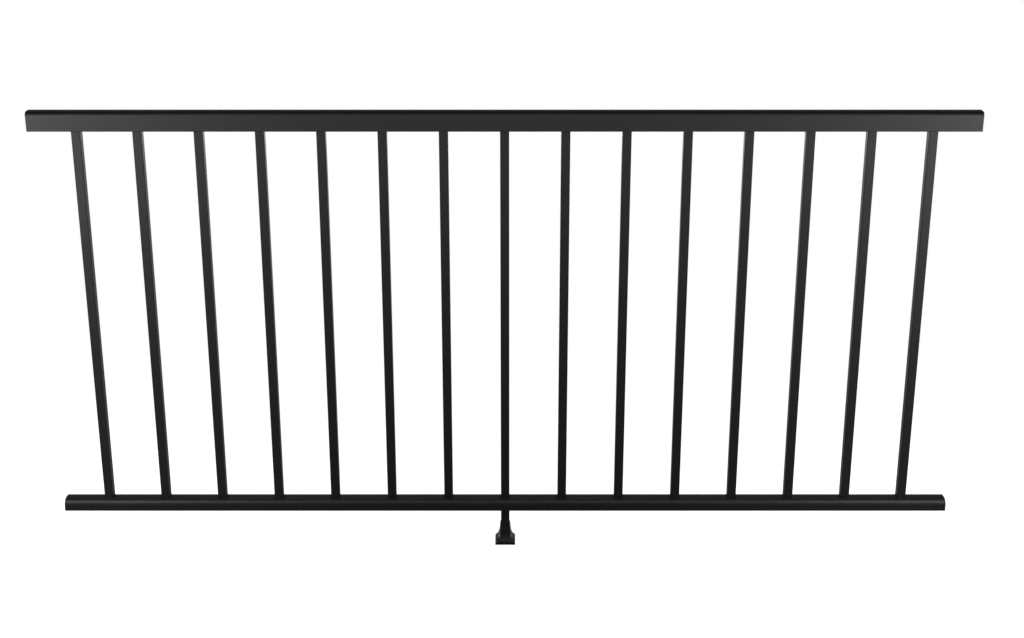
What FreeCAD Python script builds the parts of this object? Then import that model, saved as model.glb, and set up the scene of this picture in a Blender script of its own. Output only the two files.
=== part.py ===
import FreeCAD, Part
import math
import os

# Deck railing section in millimetres: two hollow rails, square balusters, a foot under the middle.
# The origin is on the deck, under the centre of the foot. X runs along the rails, Z is up.

# Overall sizes
RAIL_LENGTH = 1828.8
RAILING_HEIGHT = 909.4
DECK_CLEARANCE = 77.1

# Top rail section
TOP_RAIL_DEPTH = 37.0
TOP_RAIL_HEIGHT = 39.1
TOP_CROWN_RADIUS = 60.0
TOP_SHOULDER_RADIUS = 6.0

# Bottom rail section
BOTTOM_RAIL_DEPTH = 39.6
BOTTOM_RAIL_HEIGHT = 25.5
BOTTOM_CROWN_RADIUS = 80.0
BOTTOM_SHOULDER_RADIUS = 14.0

# Both rails
RAIL_WALL = 1.8
RAIL_BASE_RADIUS = 1.2
RAIL_INNER_RADIUS = 0.6

# Balusters, spread evenly between the first and the last
BALUSTER_COUNT = 15
END_SPACE = 90.3
BALUSTER_WIDTH = 17.6
BALUSTER_CORNER_RADIUS = 1.2
TUBE_WALL = 1.3
TOP_INSERTION = 14.0
HOLE_CLEARANCE = 0.25

# Foot boot, a flared moulding with a socket for the foot post
BOOT_HEIGHT = 42.5
BOOT_RIM_HEIGHT = 7.2
BOOT_FLARE = 9.0
COVE_TOP = 28.0
NECK_WALL = 2.8
LIP_WALL = 0.9
BOOT_CORNER_CUT = 0.7
BOOT_SKIN = 2.0
BOOT_FLOOR = 3.0
BOOT_RIB = 1.8
POCKET_END_GAP = 2.0

# Levels and places that follow from the sizes
TOP_RAIL_BOTTOM = RAILING_HEIGHT - TOP_RAIL_HEIGHT
BOTTOM_RAIL_TOP = DECK_CLEARANCE + BOTTOM_RAIL_HEIGHT
BALUSTER_BOTTOM = DECK_CLEARANCE + RAIL_WALL
BALUSTER_TOP = TOP_RAIL_BOTTOM + TOP_INSERTION
BALUSTER_PITCH = (RAIL_LENGTH - 2 * END_SPACE) / (BALUSTER_COUNT - 1)
BALUSTER_PLACES = [END_SPACE - RAIL_LENGTH / 2 + i * BALUSTER_PITCH for i in range(BALUSTER_COUNT)]
HOLE_HALF = BALUSTER_WIDTH / 2 + HOLE_CLEARANCE
HOLE_CORNER_RADIUS = BALUSTER_CORNER_RADIUS + HOLE_CLEARANCE
NECK_HALF = HOLE_HALF + NECK_WALL
LIP_HALF = HOLE_HALF + LIP_WALL
BOOT_HALF = NECK_HALF + BOOT_FLARE
CUP_HALF = HOLE_HALF + BOOT_SKIN
COVE_HEIGHT = COVE_TOP - BOOT_RIM_HEIGHT
COVE_RADIUS = (BOOT_FLARE ** 2 + COVE_HEIGHT ** 2) / (2 * BOOT_FLARE)

QUARTERS = ((1, 1), (-1, 1), (-1, -1), (1, -1))
ORIGIN = FreeCAD.Vector(0, 0, 0)
ALONG = FreeCAD.Vector(1, 0, 0)
UP = FreeCAD.Vector(0, 0, 1)


def rounded_square(half, corner, level):
    """Closed square outline at a level, with its corners rounded."""
    arcs = []
    for turn, (side_x, side_y) in enumerate(QUARTERS):
        centre = FreeCAD.Vector(side_x * (half - corner), side_y * (half - corner), level)
        arcs.append(Part.makeCircle(corner, centre, UP, 90 * turn, 90 * (turn + 1)))
    edges = []
    for arc, following in zip(arcs, arcs[1:] + arcs[:1]):
        edges += [arc, Part.makeLine(arc.Vertexes[-1].Point, following.Vertexes[0].Point)]
    return Part.Wire(edges)


def square_bar(half, corner, bottom, top):
    """Upright square bar with rounded corners between two levels."""
    return Part.Face(rounded_square(half, corner, bottom)).extrude(UP * (top - bottom))


def square_tube(bottom, top):
    """Upright square tube of the baluster section between two levels, sharp-cornered inside."""
    half = BALUSTER_WIDTH / 2
    bore = 2 * (half - TUBE_WALL)
    inside = Part.makeBox(bore, bore, top - bottom, FreeCAD.Vector(-bore / 2, -bore / 2, bottom))
    return square_bar(half, BALUSTER_CORNER_RADIUS, bottom, top).cut(inside)


def rail_outline(half, bottom, top, crown_radius, shoulder_radius, base_radius):
    """Closed section at the rail's end: crowned top, tangent shoulders, flat sides and base."""

    def at(y, z):
        return FreeCAD.Vector(-RAIL_LENGTH / 2, y, z)

    def arc(centre_y, centre_z, radius, first, last):
        turns = (first, (first + last) / 2, last)
        points = [at(centre_y + radius * math.cos(a), centre_z + radius * math.sin(a)) for a in turns]
        return Part.Arc(*points).toShape()

    lean = half - shoulder_radius
    crown_z = top - crown_radius
    rise = math.sqrt((crown_radius - shoulder_radius) ** 2 - lean ** 2)
    shoulder_z = crown_z + rise
    base_z = bottom + base_radius
    meet = math.atan2(rise, lean)
    quarter = math.pi / 2
    edges = [
        arc(lean, shoulder_z, shoulder_radius, 0, meet),
        arc(0, crown_z, crown_radius, meet, math.pi - meet),
        arc(-lean, shoulder_z, shoulder_radius, math.pi - meet, math.pi),
        Part.makeLine(at(-half, shoulder_z), at(-half, base_z)),
        arc(base_radius - half, base_z, base_radius, math.pi, math.pi + quarter),
        Part.makeLine(at(base_radius - half, bottom), at(half - base_radius, bottom)),
        arc(half - base_radius, base_z, base_radius, -quarter, 0),
        Part.makeLine(at(half, base_z), at(half, shoulder_z)),
    ]
    return Part.Wire(edges)


def hollow_rail(depth, bottom, top, crown_radius, shoulder_radius):
    """Extruded rail with an even wall, open at both ends."""
    outside = rail_outline(depth / 2, bottom, top, crown_radius, shoulder_radius, RAIL_BASE_RADIUS)
    inside = rail_outline(
        depth / 2 - RAIL_WALL,
        bottom + RAIL_WALL,
        top - RAIL_WALL,
        crown_radius - RAIL_WALL,
        shoulder_radius - RAIL_WALL,
        RAIL_INNER_RADIUS,
    )
    run = ALONG * RAIL_LENGTH
    return Part.Face(outside).extrude(run).cut(Part.Face(inside).extrude(run))


def punched(rail, bottom, top):
    """The rail with a square hole for each baluster, cut between two levels."""
    punch = square_bar(HOLE_HALF, HOLE_CORNER_RADIUS, bottom, top)
    return rail.cut([punch.translated(ALONG * place) for place in BALUSTER_PLACES])


def top_rail():
    """Top rail, with its underside punched for the balusters."""
    rail = hollow_rail(
        TOP_RAIL_DEPTH, TOP_RAIL_BOTTOM, RAILING_HEIGHT, TOP_CROWN_RADIUS, TOP_SHOULDER_RADIUS
    )
    return punched(rail, TOP_RAIL_BOTTOM - RAIL_WALL, TOP_RAIL_BOTTOM + 2 * RAIL_WALL)


def bottom_rail():
    """Bottom rail, with its rounded top punched for the balusters."""
    rail = hollow_rail(
        BOTTOM_RAIL_DEPTH, DECK_CLEARANCE, BOTTOM_RAIL_TOP, BOTTOM_CROWN_RADIUS, BOTTOM_SHOULDER_RADIUS
    )
    return punched(rail, DECK_CLEARANCE + BOTTOM_RAIL_HEIGHT / 2, BOTTOM_RAIL_TOP + RAIL_WALL)


def cove_half(level):
    """Half-width of the boot's flare at a level, on an arc that is upright where it meets the neck."""
    return NECK_HALF + COVE_RADIUS - math.sqrt(COVE_RADIUS ** 2 - (COVE_TOP - level) ** 2)


def cove_level(half):
    """Level at which the boot's flare has a half-width."""
    return COVE_TOP - math.sqrt(COVE_RADIUS ** 2 - (NECK_HALF + COVE_RADIUS - half) ** 2)


def boot_bar(stretch, trim):
    """Level bar whose section is the boot's side view, its half-widths stretched and then trimmed."""
    reach = stretch * BOOT_HALF
    middle_level = (BOOT_RIM_HEIGHT + COVE_TOP) / 2
    halves = (BOOT_HALF, cove_half(middle_level), NECK_HALF, LIP_HALF)
    rim, middle, neck, lip = [stretch * half - trim for half in halves]

    def at(x, z):
        return FreeCAD.Vector(x, -reach, z)

    right = [
        Part.makeLine(at(rim, 0), at(rim, BOOT_RIM_HEIGHT)),
        Part.Arc(at(rim, BOOT_RIM_HEIGHT), at(middle, middle_level), at(neck, COVE_TOP)).toShape(),
        Part.makeLine(at(neck, COVE_TOP), at(lip, BOOT_HEIGHT)),
    ]
    left = [edge.mirror(ORIGIN, ALONG) for edge in right]
    base = Part.makeLine(at(-rim, 0), at(rim, 0))
    crest = Part.makeLine(at(-lip, BOOT_HEIGHT), at(lip, BOOT_HEIGHT))
    outline = Part.Wire(Part.__sortEdges__(right + left + [base, crest]))
    return Part.Face(outline).extrude(FreeCAD.Vector(0, 2 * reach, 0))


def crossed(bar, turn):
    """What a bar, turned about the upright axis, shares with a copy of it at a right angle."""
    return bar.rotated(ORIGIN, UP, turn).common(bar.rotated(ORIGIN, UP, turn + 90))


def foot_boot():
    """Moulded boot: flared skin with cut corners, tapered neck, socket cup and ribs on a flat base."""
    square_form = crossed(boot_bar(1, 0), 0)
    body = square_form.common(crossed(boot_bar(math.sqrt(2), BOOT_CORNER_CUT), 45))
    pocket_top = cove_level(CUP_HALF + POCKET_END_GAP + BOOT_SKIN)
    width = 2 * BOOT_HALF
    below = Part.makeBox(width, width, pocket_top, FreeCAD.Vector(-BOOT_HALF, -BOOT_HALF, 0))
    cup = square_bar(CUP_HALF, HOLE_CORNER_RADIUS + BOOT_SKIN, 0, pocket_top)
    rib = Part.makeBox(width, BOOT_RIB, pocket_top, FreeCAD.Vector(-BOOT_HALF, -BOOT_RIB / 2, 0))
    kept = [cup, rib, rib.rotated(ORIGIN, UP, 90)]
    pocket = crossed(boot_bar(1, BOOT_SKIN), 0).common(below).cut(kept)
    socket = square_bar(HOLE_HALF, HOLE_CORNER_RADIUS, BOOT_FLOOR, BOOT_HEIGHT)
    return body.cut(pocket).cut(socket).removeSplitter()


pieces = {
    "top_rail": top_rail(),
    "bottom_rail": bottom_rail(),
    "foot_post": square_tube(BOOT_FLOOR, DECK_CLEARANCE),
    "foot_boot": foot_boot(),
}
baluster = square_tube(BALUSTER_BOTTOM, BALUSTER_TOP)
for number, place in enumerate(BALUSTER_PLACES, start=1):
    pieces[f"baluster_{number:02d}"] = baluster.translated(ALONG * place)

os.makedirs("parts", exist_ok=True)
for name, shape in pieces.items():
    shape.exportStep(f"parts/{name}.step")
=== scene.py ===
"""Finishes, moulded boot, studio and camera for a black deck railing section."""
import logging
import math
from dataclasses import dataclass, field, replace
from enum import Enum
from itertools import product
from typing import Any, Callable, Union

import bmesh
import bpy
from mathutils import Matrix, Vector


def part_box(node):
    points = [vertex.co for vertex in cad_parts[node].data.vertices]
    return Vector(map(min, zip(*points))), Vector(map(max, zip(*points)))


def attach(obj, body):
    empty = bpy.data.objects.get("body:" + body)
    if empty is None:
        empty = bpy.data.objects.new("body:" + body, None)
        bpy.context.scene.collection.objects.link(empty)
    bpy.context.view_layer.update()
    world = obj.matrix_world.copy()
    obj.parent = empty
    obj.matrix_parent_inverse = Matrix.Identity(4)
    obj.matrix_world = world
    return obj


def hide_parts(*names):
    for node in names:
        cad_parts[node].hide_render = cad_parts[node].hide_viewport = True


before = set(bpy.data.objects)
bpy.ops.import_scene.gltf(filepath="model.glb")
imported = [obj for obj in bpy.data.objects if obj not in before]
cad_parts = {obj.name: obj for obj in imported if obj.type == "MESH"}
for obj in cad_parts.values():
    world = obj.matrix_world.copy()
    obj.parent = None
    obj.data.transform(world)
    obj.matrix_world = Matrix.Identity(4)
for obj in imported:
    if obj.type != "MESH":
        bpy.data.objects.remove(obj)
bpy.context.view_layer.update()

BODY = "root"
LOG = logging.getLogger("railing")

Colour = tuple[float, float, float, float]
Place = tuple[float, float, float]
SocketKey = Union[int, str]
Operand = Union["Signal", float]
FaceTest = Callable[[Vector, Vector], bool]
EdgeTest = Callable[[Vector, Vector], bool]
PointTest = Callable[[Vector], bool]

# A Mix node has the same socket names for numbers and for colours, so these sockets go by number.
MIX_SHARE = 0
MIX_COLOURS = (6, 7)
MIX_COLOUR_RESULT = 2
NOISE_MIDDLE = 0.5


class Slot(Enum):
    """Material slots of the record."""

    COAT = "powder_coat"
    BOOT = "boot"


class Run(Enum):
    """Direction in which a piece was extruded, as the stretch of its die lines along X, Y and Z."""

    ALONG_RAIL = (0.01, 1.0, 1.0)
    UPRIGHT = (1.0, 1.0, 0.01)
    MOULDED = (1.0, 1.0, 1.0)


class Element(Enum):
    """What is picked in edit mode."""

    POINT = "VERT"
    EDGE = "EDGE"
    FACE = "FACE"


def grey(level: float) -> Colour:
    """A neutral opaque colour."""
    return (level, level, level, 1.0)


WHITE = grey(1.0)


class Signal:
    """A shader socket that takes part in Python sums and products."""

    def __init__(self, tree: "ShaderTree", socket: bpy.types.NodeSocket) -> None:
        """Keep the socket and the tree that new nodes go into."""
        self.tree = tree
        self.socket = socket

    def sibling(self, output: str) -> "Signal":
        """Another output of the same node."""
        return Signal(self.tree, self.socket.node.outputs[output])

    def maths(self, operation: str, *operands: Operand) -> "Signal":
        """Add one Math node that works on signals or numbers."""
        return self.tree.node("ShaderNodeMath", {"operation": operation}, dict(enumerate(operands)))

    def __add__(self, other: Operand) -> "Signal":
        """Sum."""
        return self.maths("ADD", self, other)

    def __radd__(self, other: float) -> "Signal":
        """Sum, with the number first."""
        return self.maths("ADD", other, self)

    def __sub__(self, other: Operand) -> "Signal":
        """Difference."""
        return self.maths("SUBTRACT", self, other)

    def __rsub__(self, other: float) -> "Signal":
        """Difference, with the number first."""
        return self.maths("SUBTRACT", other, self)

    def __mul__(self, other: Operand) -> "Signal":
        """Product."""
        return self.maths("MULTIPLY", self, other)

    def __rmul__(self, other: float) -> "Signal":
        """Product, with the number first."""
        return self.maths("MULTIPLY", other, self)

    def __abs__(self) -> "Signal":
        """Size without the sign."""
        return self.maths("ABSOLUTE", self)


class ShaderTree:
    """A node tree that is filled by short calls."""

    def __init__(self, tree: bpy.types.NodeTree) -> None:
        """Start from an empty tree."""
        self.tree = tree
        self.tree.nodes.clear()

    def node(
        self, kind: str, settings: dict[str, Any], inputs: dict[SocketKey, Any], output: SocketKey = 0
    ) -> Signal:
        """Add a node of any type.

        Args:
            kind: Blender's type name.
            settings: Properties that are set before the sockets.
            inputs: Socket names or numbers, each with a signal to link or a value to set.
            output: Name or number of the output that is returned.

        Returns:
            The chosen output as a signal, or a signal with no socket for an output node.
        """
        made = self.tree.nodes.new(kind)
        for name, value in settings.items():
            setattr(made, name, value)
        for name, value in inputs.items():
            if isinstance(value, Signal):
                self.tree.links.new(value.socket, made.inputs[name])
            else:
                made.inputs[name].default_value = value
        return Signal(self, made.outputs[output] if len(made.outputs) else None)


@dataclass(frozen=True)
class SatinFinish:
    """A satin black surface with an orange-peel skin over faint die lines."""

    name: str
    slot: Slot
    dark: float
    light: float
    roughness: float
    gloss_drift: float
    line_gloss: float
    specular: float
    grain_per_metre: float
    peel_per_metre: float
    line_per_metre: float
    drift_per_metre: float
    grain_depth: float
    peel_depth: float
    line_depth: float
    grain_octaves: float = 3.0
    peel_octaves: float = 1.0
    line_octaves: float = 2.0
    drift_octaves: float = 2.0

    def material(self, run: Run) -> bpy.types.Material:
        """Build the node material.

        Args:
            run: Direction of the die lines.

        Returns:
            The finished material.
        """
        made = bpy.data.materials.new(f"{self.name}_{run.name.lower()}")
        made.use_nodes = True
        tree = ShaderTree(made.node_tree)
        place = tree.node("ShaderNodeTexCoord", {}, {}, "Object")
        along = tree.node("ShaderNodeMapping", {}, {"Vector": place, "Scale": run.value})
        grain = self.noise(place, self.grain_per_metre, self.grain_octaves)
        peel = self.noise(place, self.peel_per_metre, self.peel_octaves)
        drift = self.noise(place, self.drift_per_metre, self.drift_octaves)
        lines = self.noise(along, self.line_per_metre, self.line_octaves)
        colour = tree.node(
            "ShaderNodeMix",
            {"data_type": "RGBA"},
            {MIX_SHARE: drift, MIX_COLOURS[0]: grey(self.dark), MIX_COLOURS[1]: grey(self.light)},
            MIX_COLOUR_RESULT,
        )
        drift_gloss = (drift - NOISE_MIDDLE) * self.gloss_drift
        line_gloss = (lines - NOISE_MIDDLE) * self.line_gloss
        height = grain * self.grain_depth + peel * self.peel_depth + lines * self.line_depth
        bump = tree.node("ShaderNodeBump", {}, {"Strength": 1.0, "Distance": 1.0, "Height": height})
        surface = tree.node(
            "ShaderNodeBsdfPrincipled",
            {},
            {
                "Base Color": colour,
                "Roughness": self.roughness + drift_gloss + line_gloss,
                "Specular IOR Level": self.specular,
                "Normal": bump,
            },
        )
        tree.node("ShaderNodeOutputMaterial", {}, {"Surface": surface})
        return made

    def noise(self, place: Signal, per_metre: float, octaves: float) -> Signal:
        """A soft random pattern on the surface, with values about one half."""
        inputs = {"Vector": place, "Scale": per_metre, "Detail": octaves}
        return place.tree.node("ShaderNodeTexNoise", {}, inputs)


POWDER_COAT = SatinFinish(
    name="satin_black_powder_coat",
    slot=Slot.COAT,
    dark=0.0069,
    light=0.0092,
    roughness=0.42,
    gloss_drift=0.06,
    line_gloss=0.04,
    specular=0.116,
    grain_per_metre=1400.0,
    peel_per_metre=260.0,
    line_per_metre=700.0,
    drift_per_metre=7.0,
    grain_depth=0.000008,
    peel_depth=0.00002,
    line_depth=0.000004,
)
MOULDED_BLACK = SatinFinish(
    name="satin_black_moulding",
    slot=Slot.BOOT,
    dark=0.0069,
    light=0.0092,
    roughness=0.48,
    gloss_drift=0.05,
    line_gloss=0.0,
    specular=0.105,
    grain_per_metre=2200.0,
    peel_per_metre=500.0,
    line_per_metre=700.0,
    drift_per_metre=20.0,
    grain_depth=0.000010,
    peel_depth=0.00001,
    line_depth=0.0,
)


@dataclass(frozen=True)
class WhiteFloor:
    """A pale floor that looks white, with painted shade in its reflections: surfaces mirror it dimmer the
    closer it is to the railing.
    """

    name: str = "white_floor"
    glow: float = 0.97
    colour: float = 0.30
    bounce_colour: float = 0.1
    # Painted shade in reflections: the mirrored glow drops to this level at the railing and rises again
    # over the reach.
    painted_shade_level: float = 0.20
    painted_shade_reach: float = 3.0
    painted_shade_taper: float = 0.6

    def material(self) -> bpy.types.Material:
        """Build the node material.

        Returns:
            The finished material.
        """
        made = bpy.data.materials.new(self.name)
        made.use_nodes = True
        tree = ShaderTree(made.node_tree)
        seen = tree.node("ShaderNodeLightPath", {}, {}, "Is Camera Ray")
        shown = seen + seen.sibling("Is Glossy Ray") + seen.sibling("Is Transmission Ray")
        # Painted shade: glossy rays see the floor's glow dimmed near the railing, while camera rays see
        # it whole.
        shaded_share = self.painted_reflection_shade(tree)
        level = shaded_share + (1.0 - shaded_share) * seen
        lit = tree.node("ShaderNodeBsdfDiffuse", {}, {"Color": grey(self.colour)})
        glow = tree.node("ShaderNodeEmission", {}, {"Color": level * self.glow})
        white = tree.node("ShaderNodeAddShader", {}, {0: lit, 1: glow})
        plain = tree.node("ShaderNodeBsdfDiffuse", {}, {"Color": grey(self.bounce_colour)})
        mixed = tree.node("ShaderNodeMixShader", {}, {0: shown, 1: plain, 2: white})
        tree.node("ShaderNodeOutputMaterial", {}, {"Surface": mixed})
        return made

    def painted_reflection_shade(self, tree: ShaderTree) -> Signal:
        """Share of the glow that mirroring surfaces see, which paints a shade into the floor's reflection
        next to the railing.

        Args:
            tree: Tree that takes the nodes.

        Returns:
            The share, which grows with the distance from the railing, and faster beside its ends, so that
            reflections show painted shade near the railing.
        """
        place = tree.node("ShaderNodeTexCoord", {}, {}, "Object")
        across = tree.node("ShaderNodeSeparateXYZ", {}, {"Vector": place}, "Y")
        along = across.sibling("X")
        distance = abs(across) * (1.0 + abs(along) * self.painted_shade_taper)
        reach = {"Value": distance, "From Max": self.painted_shade_reach, "To Min": self.painted_shade_level}
        return tree.node("ShaderNodeMapRange", {}, reach)


def give_finish(piece: bpy.types.Object, material: bpy.types.Material) -> None:
    """Give a piece one material in place of those it has.

    Args:
        piece: New piece, CAD node or floor.
        material: Its only material from now on.
    """
    piece.data.materials.clear()
    piece.data.materials.append(material)
    LOG.info("dressed %s in %s", piece.name, material.name)


@dataclass
class Rails:
    """The crowned top rail and the rounded bottom rail, both hollow extrusions."""

    nodes: tuple[str, ...] = ("top_rail", "bottom_rail")
    finish: SatinFinish = POWDER_COAT

    def dress(self) -> None:
        """Coat both rails, with die lines along their length."""
        coat = self.finish.material(Run.ALONG_RAIL)
        for node in self.nodes:
            give_finish(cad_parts[node], coat)


@dataclass
class Balusters:
    """The row of square tubes between the rails."""

    prefix: str = "baluster_"
    finish: SatinFinish = POWDER_COAT

    def dress(self) -> None:
        """Coat every baluster, with die lines that run up the tube."""
        coat = self.finish.material(Run.UPRIGHT)
        for node, piece in sorted(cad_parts.items()):
            if node.startswith(self.prefix):
                give_finish(piece, coat)


class Workpiece:
    """A mesh that starts as a block and is shaped in edit mode by operators."""

    def __init__(self, name: str, low: Place, high: Place) -> None:
        """Add the block and open it in edit mode.

        Args:
            name: Name of the finished piece.
            low: Lowest corner of the block in metres.
            high: Highest corner of the block in metres.
        """
        bpy.ops.object.select_all(action="DESELECT")
        centre = (Vector(low) + Vector(high)) / 2
        bpy.ops.mesh.primitive_cube_add(size=1.0, location=centre, scale=Vector(high) - Vector(low))
        self.piece = bpy.context.object
        self.piece.name = name
        bpy.ops.object.transform_apply(location=True, rotation=True, scale=True)
        bpy.ops.object.mode_set(mode="EDIT")

    def unpicked(self, element: Element) -> bmesh.types.BMesh:
        """Deselect all, so that elements of one kind can be picked.

        Args:
            element: Kind that is picked next.

        Returns:
            The mesh in edit mode.
        """
        bpy.ops.mesh.select_mode(type=element.value)
        bpy.ops.mesh.select_all(action="DESELECT")
        return bmesh.from_edit_mesh(self.piece.data)

    def pick_faces(self, test: FaceTest) -> None:
        """Select faces and nothing else.

        Args:
            test: Whether a face with this centre and normal is selected.
        """
        for face in self.unpicked(Element.FACE).faces:
            face.select_set(test(face.calc_center_median(), face.normal))
        bmesh.update_edit_mesh(self.piece.data)

    def pick_edges(self, test: EdgeTest) -> None:
        """Select edges and nothing else.

        Args:
            test: Whether an edge between these two ends is selected.
        """
        for edge in self.unpicked(Element.EDGE).edges:
            edge.select_set(test(edge.verts[0].co, edge.verts[1].co))
        bmesh.update_edit_mesh(self.piece.data)

    def pick_points(self, test: PointTest) -> None:
        """Select vertices and nothing else.

        Args:
            test: Whether a vertex at this place is selected.
        """
        for point in self.unpicked(Element.POINT).verts:
            point.select_set(test(point.co))
        bmesh.update_edit_mesh(self.piece.data)

    def draw(self, rise: float) -> None:
        """Extrude what is selected up or down by a distance."""
        bpy.ops.mesh.extrude_region_move(TRANSFORM_OT_translate={"value": (0.0, 0.0, rise)})

    def scale(self, centre: Place, share: float) -> None:
        """Scale what is selected in plan, about a point."""
        bpy.ops.transform.resize(value=(share, share, 1.0), center_override=centre)

    def shift(self, step: Place) -> None:
        """Move what is selected."""
        bpy.ops.transform.translate(value=step)

    def inset(self, wall: float) -> None:
        """Inset what is selected by a wall's thickness."""
        bpy.ops.mesh.inset(thickness=wall, depth=0.0)

    def round_off(self, radius: float, segments: int) -> None:
        """Bevel the selected edges into a round of a radius and a number of strips."""
        bpy.ops.mesh.bevel(offset=radius, offset_type="OFFSET", segments=segments, affect="EDGES")

    def cut(self, place: Place, normal: Place) -> None:
        """Split the selected faces along a plane."""
        bpy.ops.mesh.bisect(plane_co=place, plane_no=normal)

    def close(self, soft_edge: float, soft_segments: int, crease_angle: float) -> bpy.types.Object:
        """Leave edit mode, soften the sharp edges and smooth the rest.

        Args:
            soft_edge: Width of the small bevel on every sharp edge.
            soft_segments: Number of strips across that bevel.
            crease_angle: Angle in degrees above which an edge is sharp.

        Returns:
            The finished piece.
        """
        bpy.ops.object.mode_set(mode="OBJECT")
        bevel = self.piece.modifiers.new("soft_edges", "BEVEL")
        bevel.width = soft_edge
        bevel.segments = soft_segments
        bevel.limit_method = "ANGLE"
        bevel.angle_limit = math.radians(crease_angle)
        bpy.ops.object.modifier_apply(modifier=bevel.name)
        bpy.ops.object.shade_smooth_by_angle(angle=math.radians(crease_angle))
        return self.piece


@dataclass(frozen=True)
class Outline:
    """A level square outline about the upright axis, with rounded corners."""

    level: float
    half: float
    corner: float


@dataclass
class Foot:
    """The foot post and the moulded boot that it stands in."""

    post_node: str = "foot_post"
    boot_node: str = "foot_boot"
    boot_name: str = "foot_boot_moulding"
    sole_height: float = 0.0006
    rim_height: float = 0.0072
    rim_steps: int = 4
    cove_top: float = 0.0240
    cove_steps: int = 14
    cove_bend: float = 1.4
    neck_half: float = 0.0120
    lip_half: float = 0.0101
    lip_wall: float = 0.0010
    socket_floor: float = 0.0030
    sole_corner: float = 0.0010
    neck_corner: float = 0.0025
    lip_corner: float = 0.0020
    corner_swell: float = 0.0076
    swell_top: float = 0.0250
    corner_segments: int = 8
    skin: float = 0.0020
    recess_depth: float = 0.0050
    cup_half: float = 0.01105
    rib: float = 0.0018
    soft_edge: float = 0.0003
    soft_segments: int = 2
    crease_angle: float = 40.0
    level_normal: float = 0.9
    tolerance: float = 0.00001
    post_finish: SatinFinish = POWDER_COAT
    boot_finish: SatinFinish = MOULDED_BLACK
    boot: bpy.types.Object = field(init=False)

    def build(self) -> None:
        """Model the boot and let it stand for its solid."""
        low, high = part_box(self.boot_node)
        base_half, height = high[0], high[2]
        work = Workpiece(self.boot_name, low, (high[0], high[1], self.sole_height))
        self.round_sole(work)
        self.draw_skin(work, base_half, height)
        self.sink_socket(work, height)
        self.hollow_base(work, base_half)
        self.boot = work.close(self.soft_edge, self.soft_segments, self.crease_angle)
        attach(self.boot, BODY)
        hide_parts(self.boot_node)
        LOG.info("modelled %s", self.boot.name)

    def half_at(self, level: float, base_half: float) -> float:
        """Half-width at a level, of the upright rim or of the flare, which bends up towards the neck."""
        drop = (self.cove_top - max(level, self.rim_height)) / (self.cove_top - self.rim_height)
        return self.neck_half + (base_half - self.neck_half) * drop ** self.cove_bend

    def corner_at(self, level: float) -> float:
        """Radius of the upright corners: sharp at the deck, wide in the flare, small at the neck.

        Args:
            level: Height above the deck, up to the neck.

        Returns:
            Radius at that height.
        """
        plain = self.sole_corner + level / self.cove_top * (self.neck_corner - self.sole_corner)
        swell = math.sin(math.pi * min(level / self.swell_top, 1.0)) ** 2
        return plain + self.corner_swell * swell

    def facing_up(self, level: float) -> FaceTest:
        """A test for upward faces that lie no lower than a level."""
        return lambda centre, normal: normal.z > self.level_normal and centre.z > level - self.tolerance

    def in_quarter(self, level: float, side_x: int, side_y: int) -> PointTest:
        """A test for points no lower than a level that lie in one quarter of the plan."""
        lowest = level - self.tolerance
        return lambda place: place.z > lowest and place.x * side_x > 0 and place.y * side_y > 0

    def round_sole(self, work: Workpiece) -> None:
        """Round the four upright corners of the sole, a thin block at the size of the boot's base."""
        work.pick_edges(lambda first, last: abs(first.z - last.z) > self.tolerance)
        work.round_off(self.corner_at(self.sole_height), self.corner_segments)

    def draw_skin(self, work: Workpiece, base_half: float, height: float) -> None:
        """Draw the sole up through the rim, the flare and the tapered neck.

        Args:
            work: The sole with its rounded corners.
            base_half: Half-width of the sole.
            height: Height of the lip.
        """
        levels = [self.sole_height]
        for top, count in ((self.rim_height, self.rim_steps), (self.cove_top, self.cove_steps)):
            start = levels[-1]
            levels += [start + (top - start) * step / count for step in range(1, count + 1)]
        outlines = [
            Outline(level, self.half_at(level, base_half), self.corner_at(level)) for level in levels
        ]
        outlines.append(Outline(height, self.lip_half, self.lip_corner))
        for below, above in zip(outlines, outlines[1:]):
            self.raise_skin(work, below, above)

    def raise_skin(self, work: Workpiece, below: Outline, above: Outline) -> None:
        """Draw the top of the skin from one outline to the next.

        Args:
            work: The skin so far.
            below: Outline of its top.
            above: Outline that the top gets.
        """
        work.pick_faces(self.facing_up(below.level))
        work.draw(above.level - below.level)
        old_centre = below.half - below.corner
        step = above.half - above.corner - old_centre
        growth = above.corner / below.corner
        for side_x, side_y in product((-1, 1), repeat=2):
            work.pick_points(self.in_quarter(above.level, side_x, side_y))
            work.scale((side_x * old_centre, side_y * old_centre, above.level), growth)
            work.shift((side_x * step, side_y * step, 0.0))

    def sink_socket(self, work: Workpiece, height: float) -> None:
        """Sink the socket for the post into the lip.

        Args:
            work: The rounded skin.
            height: Height of the lip.
        """
        work.pick_faces(self.facing_up(height))
        work.inset(self.lip_wall)
        work.draw(self.socket_floor - height)

    def hollow_base(self, work: Workpiece, base_half: float) -> None:
        """Recess the underside between the skin, the socket's cup and four ribs.

        Args:
            work: The skin with its socket.
            base_half: Half-width of the rim.
        """
        inside = base_half - self.skin - self.tolerance

        def underneath(centre: Vector, normal: Vector) -> bool:
            """Whether a face lies on the base, within the skin."""
            return normal.z < -self.level_normal and max(abs(centre.x), abs(centre.y)) < inside

        def in_pocket(centre: Vector, normal: Vector) -> bool:
            """Whether a face of the base lies clear of the cup and the ribs."""
            reach = (abs(centre.x), abs(centre.y))
            return underneath(centre, normal) and max(reach) > self.cup_half and min(reach) > self.rib / 2

        work.pick_faces(underneath)
        work.inset(self.skin)
        for offset in (-self.cup_half, -self.rib / 2, self.rib / 2, self.cup_half):
            work.pick_faces(underneath)
            work.cut((offset, 0.0, 0.0), (1.0, 0.0, 0.0))
            work.pick_faces(underneath)
            work.cut((0.0, offset, 0.0), (0.0, 1.0, 0.0))
        work.pick_faces(in_pocket)
        work.draw(self.recess_depth)

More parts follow.
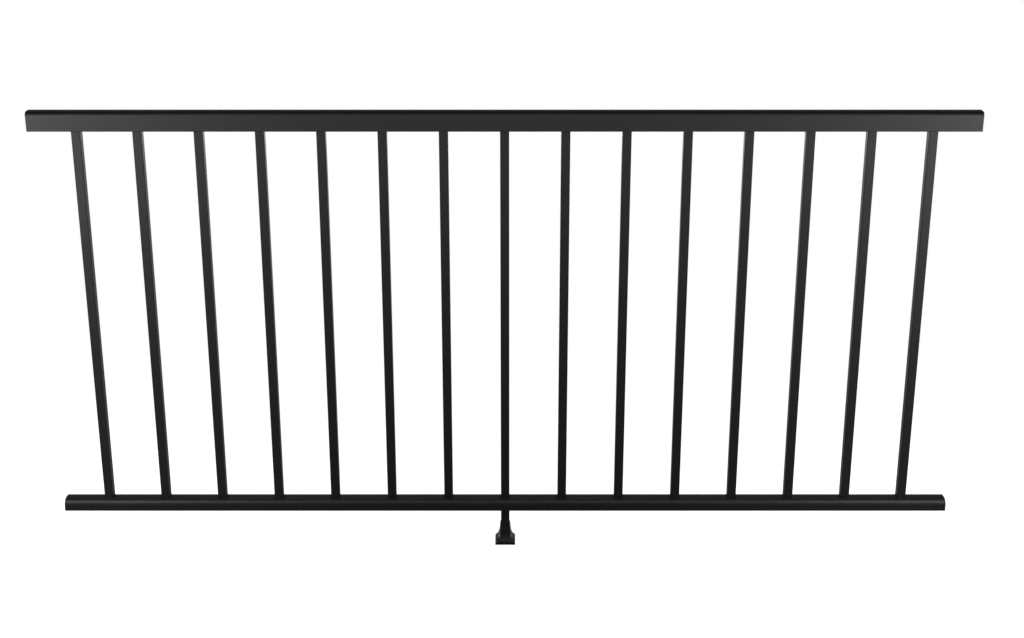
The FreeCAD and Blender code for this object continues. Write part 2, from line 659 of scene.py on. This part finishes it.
    def dress(self) -> None:
        """Coat the post and give the boot its moulded skin."""
        give_finish(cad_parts[self.post_node], self.post_finish.material(Run.UPRIGHT))
        skin = self.boot_finish.material(Run.MOULDED)
        give_finish(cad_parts[self.boot_node], skin)
        give_finish(self.boot, skin)


@dataclass(frozen=True)
class Softbox:
    """A soft lamp with a limited beam, in degrees, that points at one place of the railing."""

    name: str
    place: Place
    aim: Place
    size: tuple[float, float]
    watts: float
    beam: float

    def build(self) -> None:
        """Add the lamp to the scene, out of the camera's sight."""
        lamp = bpy.data.lights.new(self.name, "AREA")
        lamp.shape = "RECTANGLE"
        lamp.size, lamp.size_y = self.size
        lamp.energy = self.watts
        lamp.spread = math.radians(self.beam)
        holder = bpy.data.objects.new(self.name, lamp)
        bpy.context.scene.collection.objects.link(holder)
        holder.location = self.place
        away = Vector(self.place) - Vector(self.aim)
        holder.rotation_euler = away.to_track_quat("Z", "Y").to_euler()
        holder.visible_camera = False
        LOG.info("lamp %s", self.name)

    def mirrored(self) -> "Softbox":
        """The same lamp on the other side of the camera.

        Returns:
            A lamp with its place and aim mirrored from left to right.
        """
        flip = Vector((-1.0, 1.0, 1.0))
        return replace(
            self,
            name=f"{self.name}_mirrored",
            place=tuple(Vector(self.place) * flip),
            aim=tuple(Vector(self.aim) * flip),
        )


PAIRED_LAMPS = (
    Softbox(
        name="outer_softbox",
        place=(1.9, -1.6, 0.54),
        aim=(0.95, 0.0, 1.08),
        size=(0.8, 0.5),
        watts=5.0,
        beam=60.0,
    ),
    Softbox(
        name="inner_softbox",
        place=(1.35, -1.75, 0.65),
        aim=(0.75, 0.0, 1.1),
        size=(0.9, 0.4),
        watts=1.4,
        beam=60.0,
    ),
    Softbox(
        name="low_rail_softbox",
        place=(1.45, -1.2, 1.43),
        aim=(0.98, 0.0, 0.1),
        size=(0.6, 0.4),
        watts=2.0,
        beam=40.0,
    ),
    Softbox(
        name="boot_softbox",
        place=(1.5, 0.1, 0.045),
        aim=(0.0, 0.0, 0.02),
        size=(0.5, 0.05),
        watts=0.55,
        beam=12.0,
    ),
)
SINGLE_LAMPS = (
    Softbox(
        name="front_strip",
        place=(0.0, -2.2, 0.7),
        aim=(0.0, 0.0, 1.1),
        size=(1.6, 0.4),
        watts=1.8,
        beam=60.0,
    ),
    Softbox(
        name="low_rail_strip",
        place=(0.0, -1.1, 1.5),
        aim=(0.0, 0.0, 0.1),
        size=(2.0, 0.9),
        watts=2.6,
        beam=40.0,
    ),
    Softbox(
        name="back_strip",
        place=(0.0, 2.2, 0.65),
        aim=(0.0, 0.0, 1.3),
        size=(1.2, 0.4),
        watts=0.8,
        beam=60.0,
    ),
    Softbox(
        name="crown_strip",
        place=(0.0, 0.8, 1.65),
        aim=(0.0, 0.0, 0.1),
        size=(1.8, 0.25),
        watts=0.35,
        beam=30.0,
    ),
)


@dataclass
class Studio:
    """White floor, dim surroundings, soft lamps and the camera."""

    floor_name: str = "studio_floor"
    floor_size: float = 120.0
    floor: WhiteFloor = WhiteFloor()
    horizon_level: float = 0.34
    sky_level: float = 0.08
    sky_start: float = 0.26
    sky_full: float = 0.50
    camera_place: Place = (0.0142, -2.7198, 1.3457)
    camera_tilt: float = 17.477
    lens: float = 50.0
    sensor: float = 36.0
    pairs: tuple[Softbox, ...] = PAIRED_LAMPS
    singles: tuple[Softbox, ...] = SINGLE_LAMPS

    def build(self) -> None:
        """Add floor, world, lamps and camera."""
        self.lay_floor()
        self.fill_world()
        for lamp in self.singles:
            lamp.build()
        for lamp in self.pairs:
            lamp.build()
            lamp.mirrored().build()
        self.set_camera()
        bpy.context.scene.view_settings.view_transform = "Standard"
        LOG.info("studio ready")

    def lay_floor(self) -> None:
        """Lay a wide white floor at deck level, which keeps the railing's shadow."""
        bpy.ops.object.select_all(action="DESELECT")
        bpy.ops.mesh.primitive_plane_add(size=self.floor_size, location=(0.0, 0.0, 0.0))
        floor = bpy.context.object
        floor.name = self.floor_name
        give_finish(floor, self.floor.material())

    def fill_world(self) -> None:
        """Surround the railing with a dim studio that is lightest at the horizon and darker overhead."""
        world = bpy.data.worlds.new("dim_studio")
        bpy.context.scene.world = world
        world.use_nodes = True
        tree = ShaderTree(world.node_tree)
        gaze = tree.node("ShaderNodeTexCoord", {}, {}, "Generated")
        height = tree.node("ShaderNodeSeparateXYZ", {}, {"Vector": gaze}, "Z")
        level = tree.node(
            "ShaderNodeMapRange",
            {"interpolation_type": "SMOOTHSTEP"},
            {
                "Value": height,
                "From Min": self.sky_start,
                "From Max": self.sky_full,
                "To Min": self.horizon_level,
                "To Max": self.sky_level,
            },
        )
        air = tree.node("ShaderNodeBackground", {}, {"Color": WHITE, "Strength": level})
        tree.node("ShaderNodeOutputWorld", {}, {"Surface": air})

    def set_camera(self) -> None:
        """Stand the camera where the photograph was taken from, tilted down from a level gaze."""
        camera = bpy.data.cameras.new("camera")
        camera.lens = self.lens
        camera.sensor_width = self.sensor
        holder = bpy.data.objects.new("camera", camera)
        bpy.context.scene.collection.objects.link(holder)
        holder.location = self.camera_place
        holder.rotation_euler = (math.pi / 2 - math.radians(self.camera_tilt), 0.0, 0.0)
        bpy.context.scene.camera = holder


def main() -> None:
    """Dress the railing and build the studio around it."""
    logging.basicConfig(level=logging.INFO)
    Rails().dress()
    Balusters().dress()
    foot = Foot()
    foot.build()
    foot.dress()
    Studio().build()


if __name__ == "__main__":
    main()
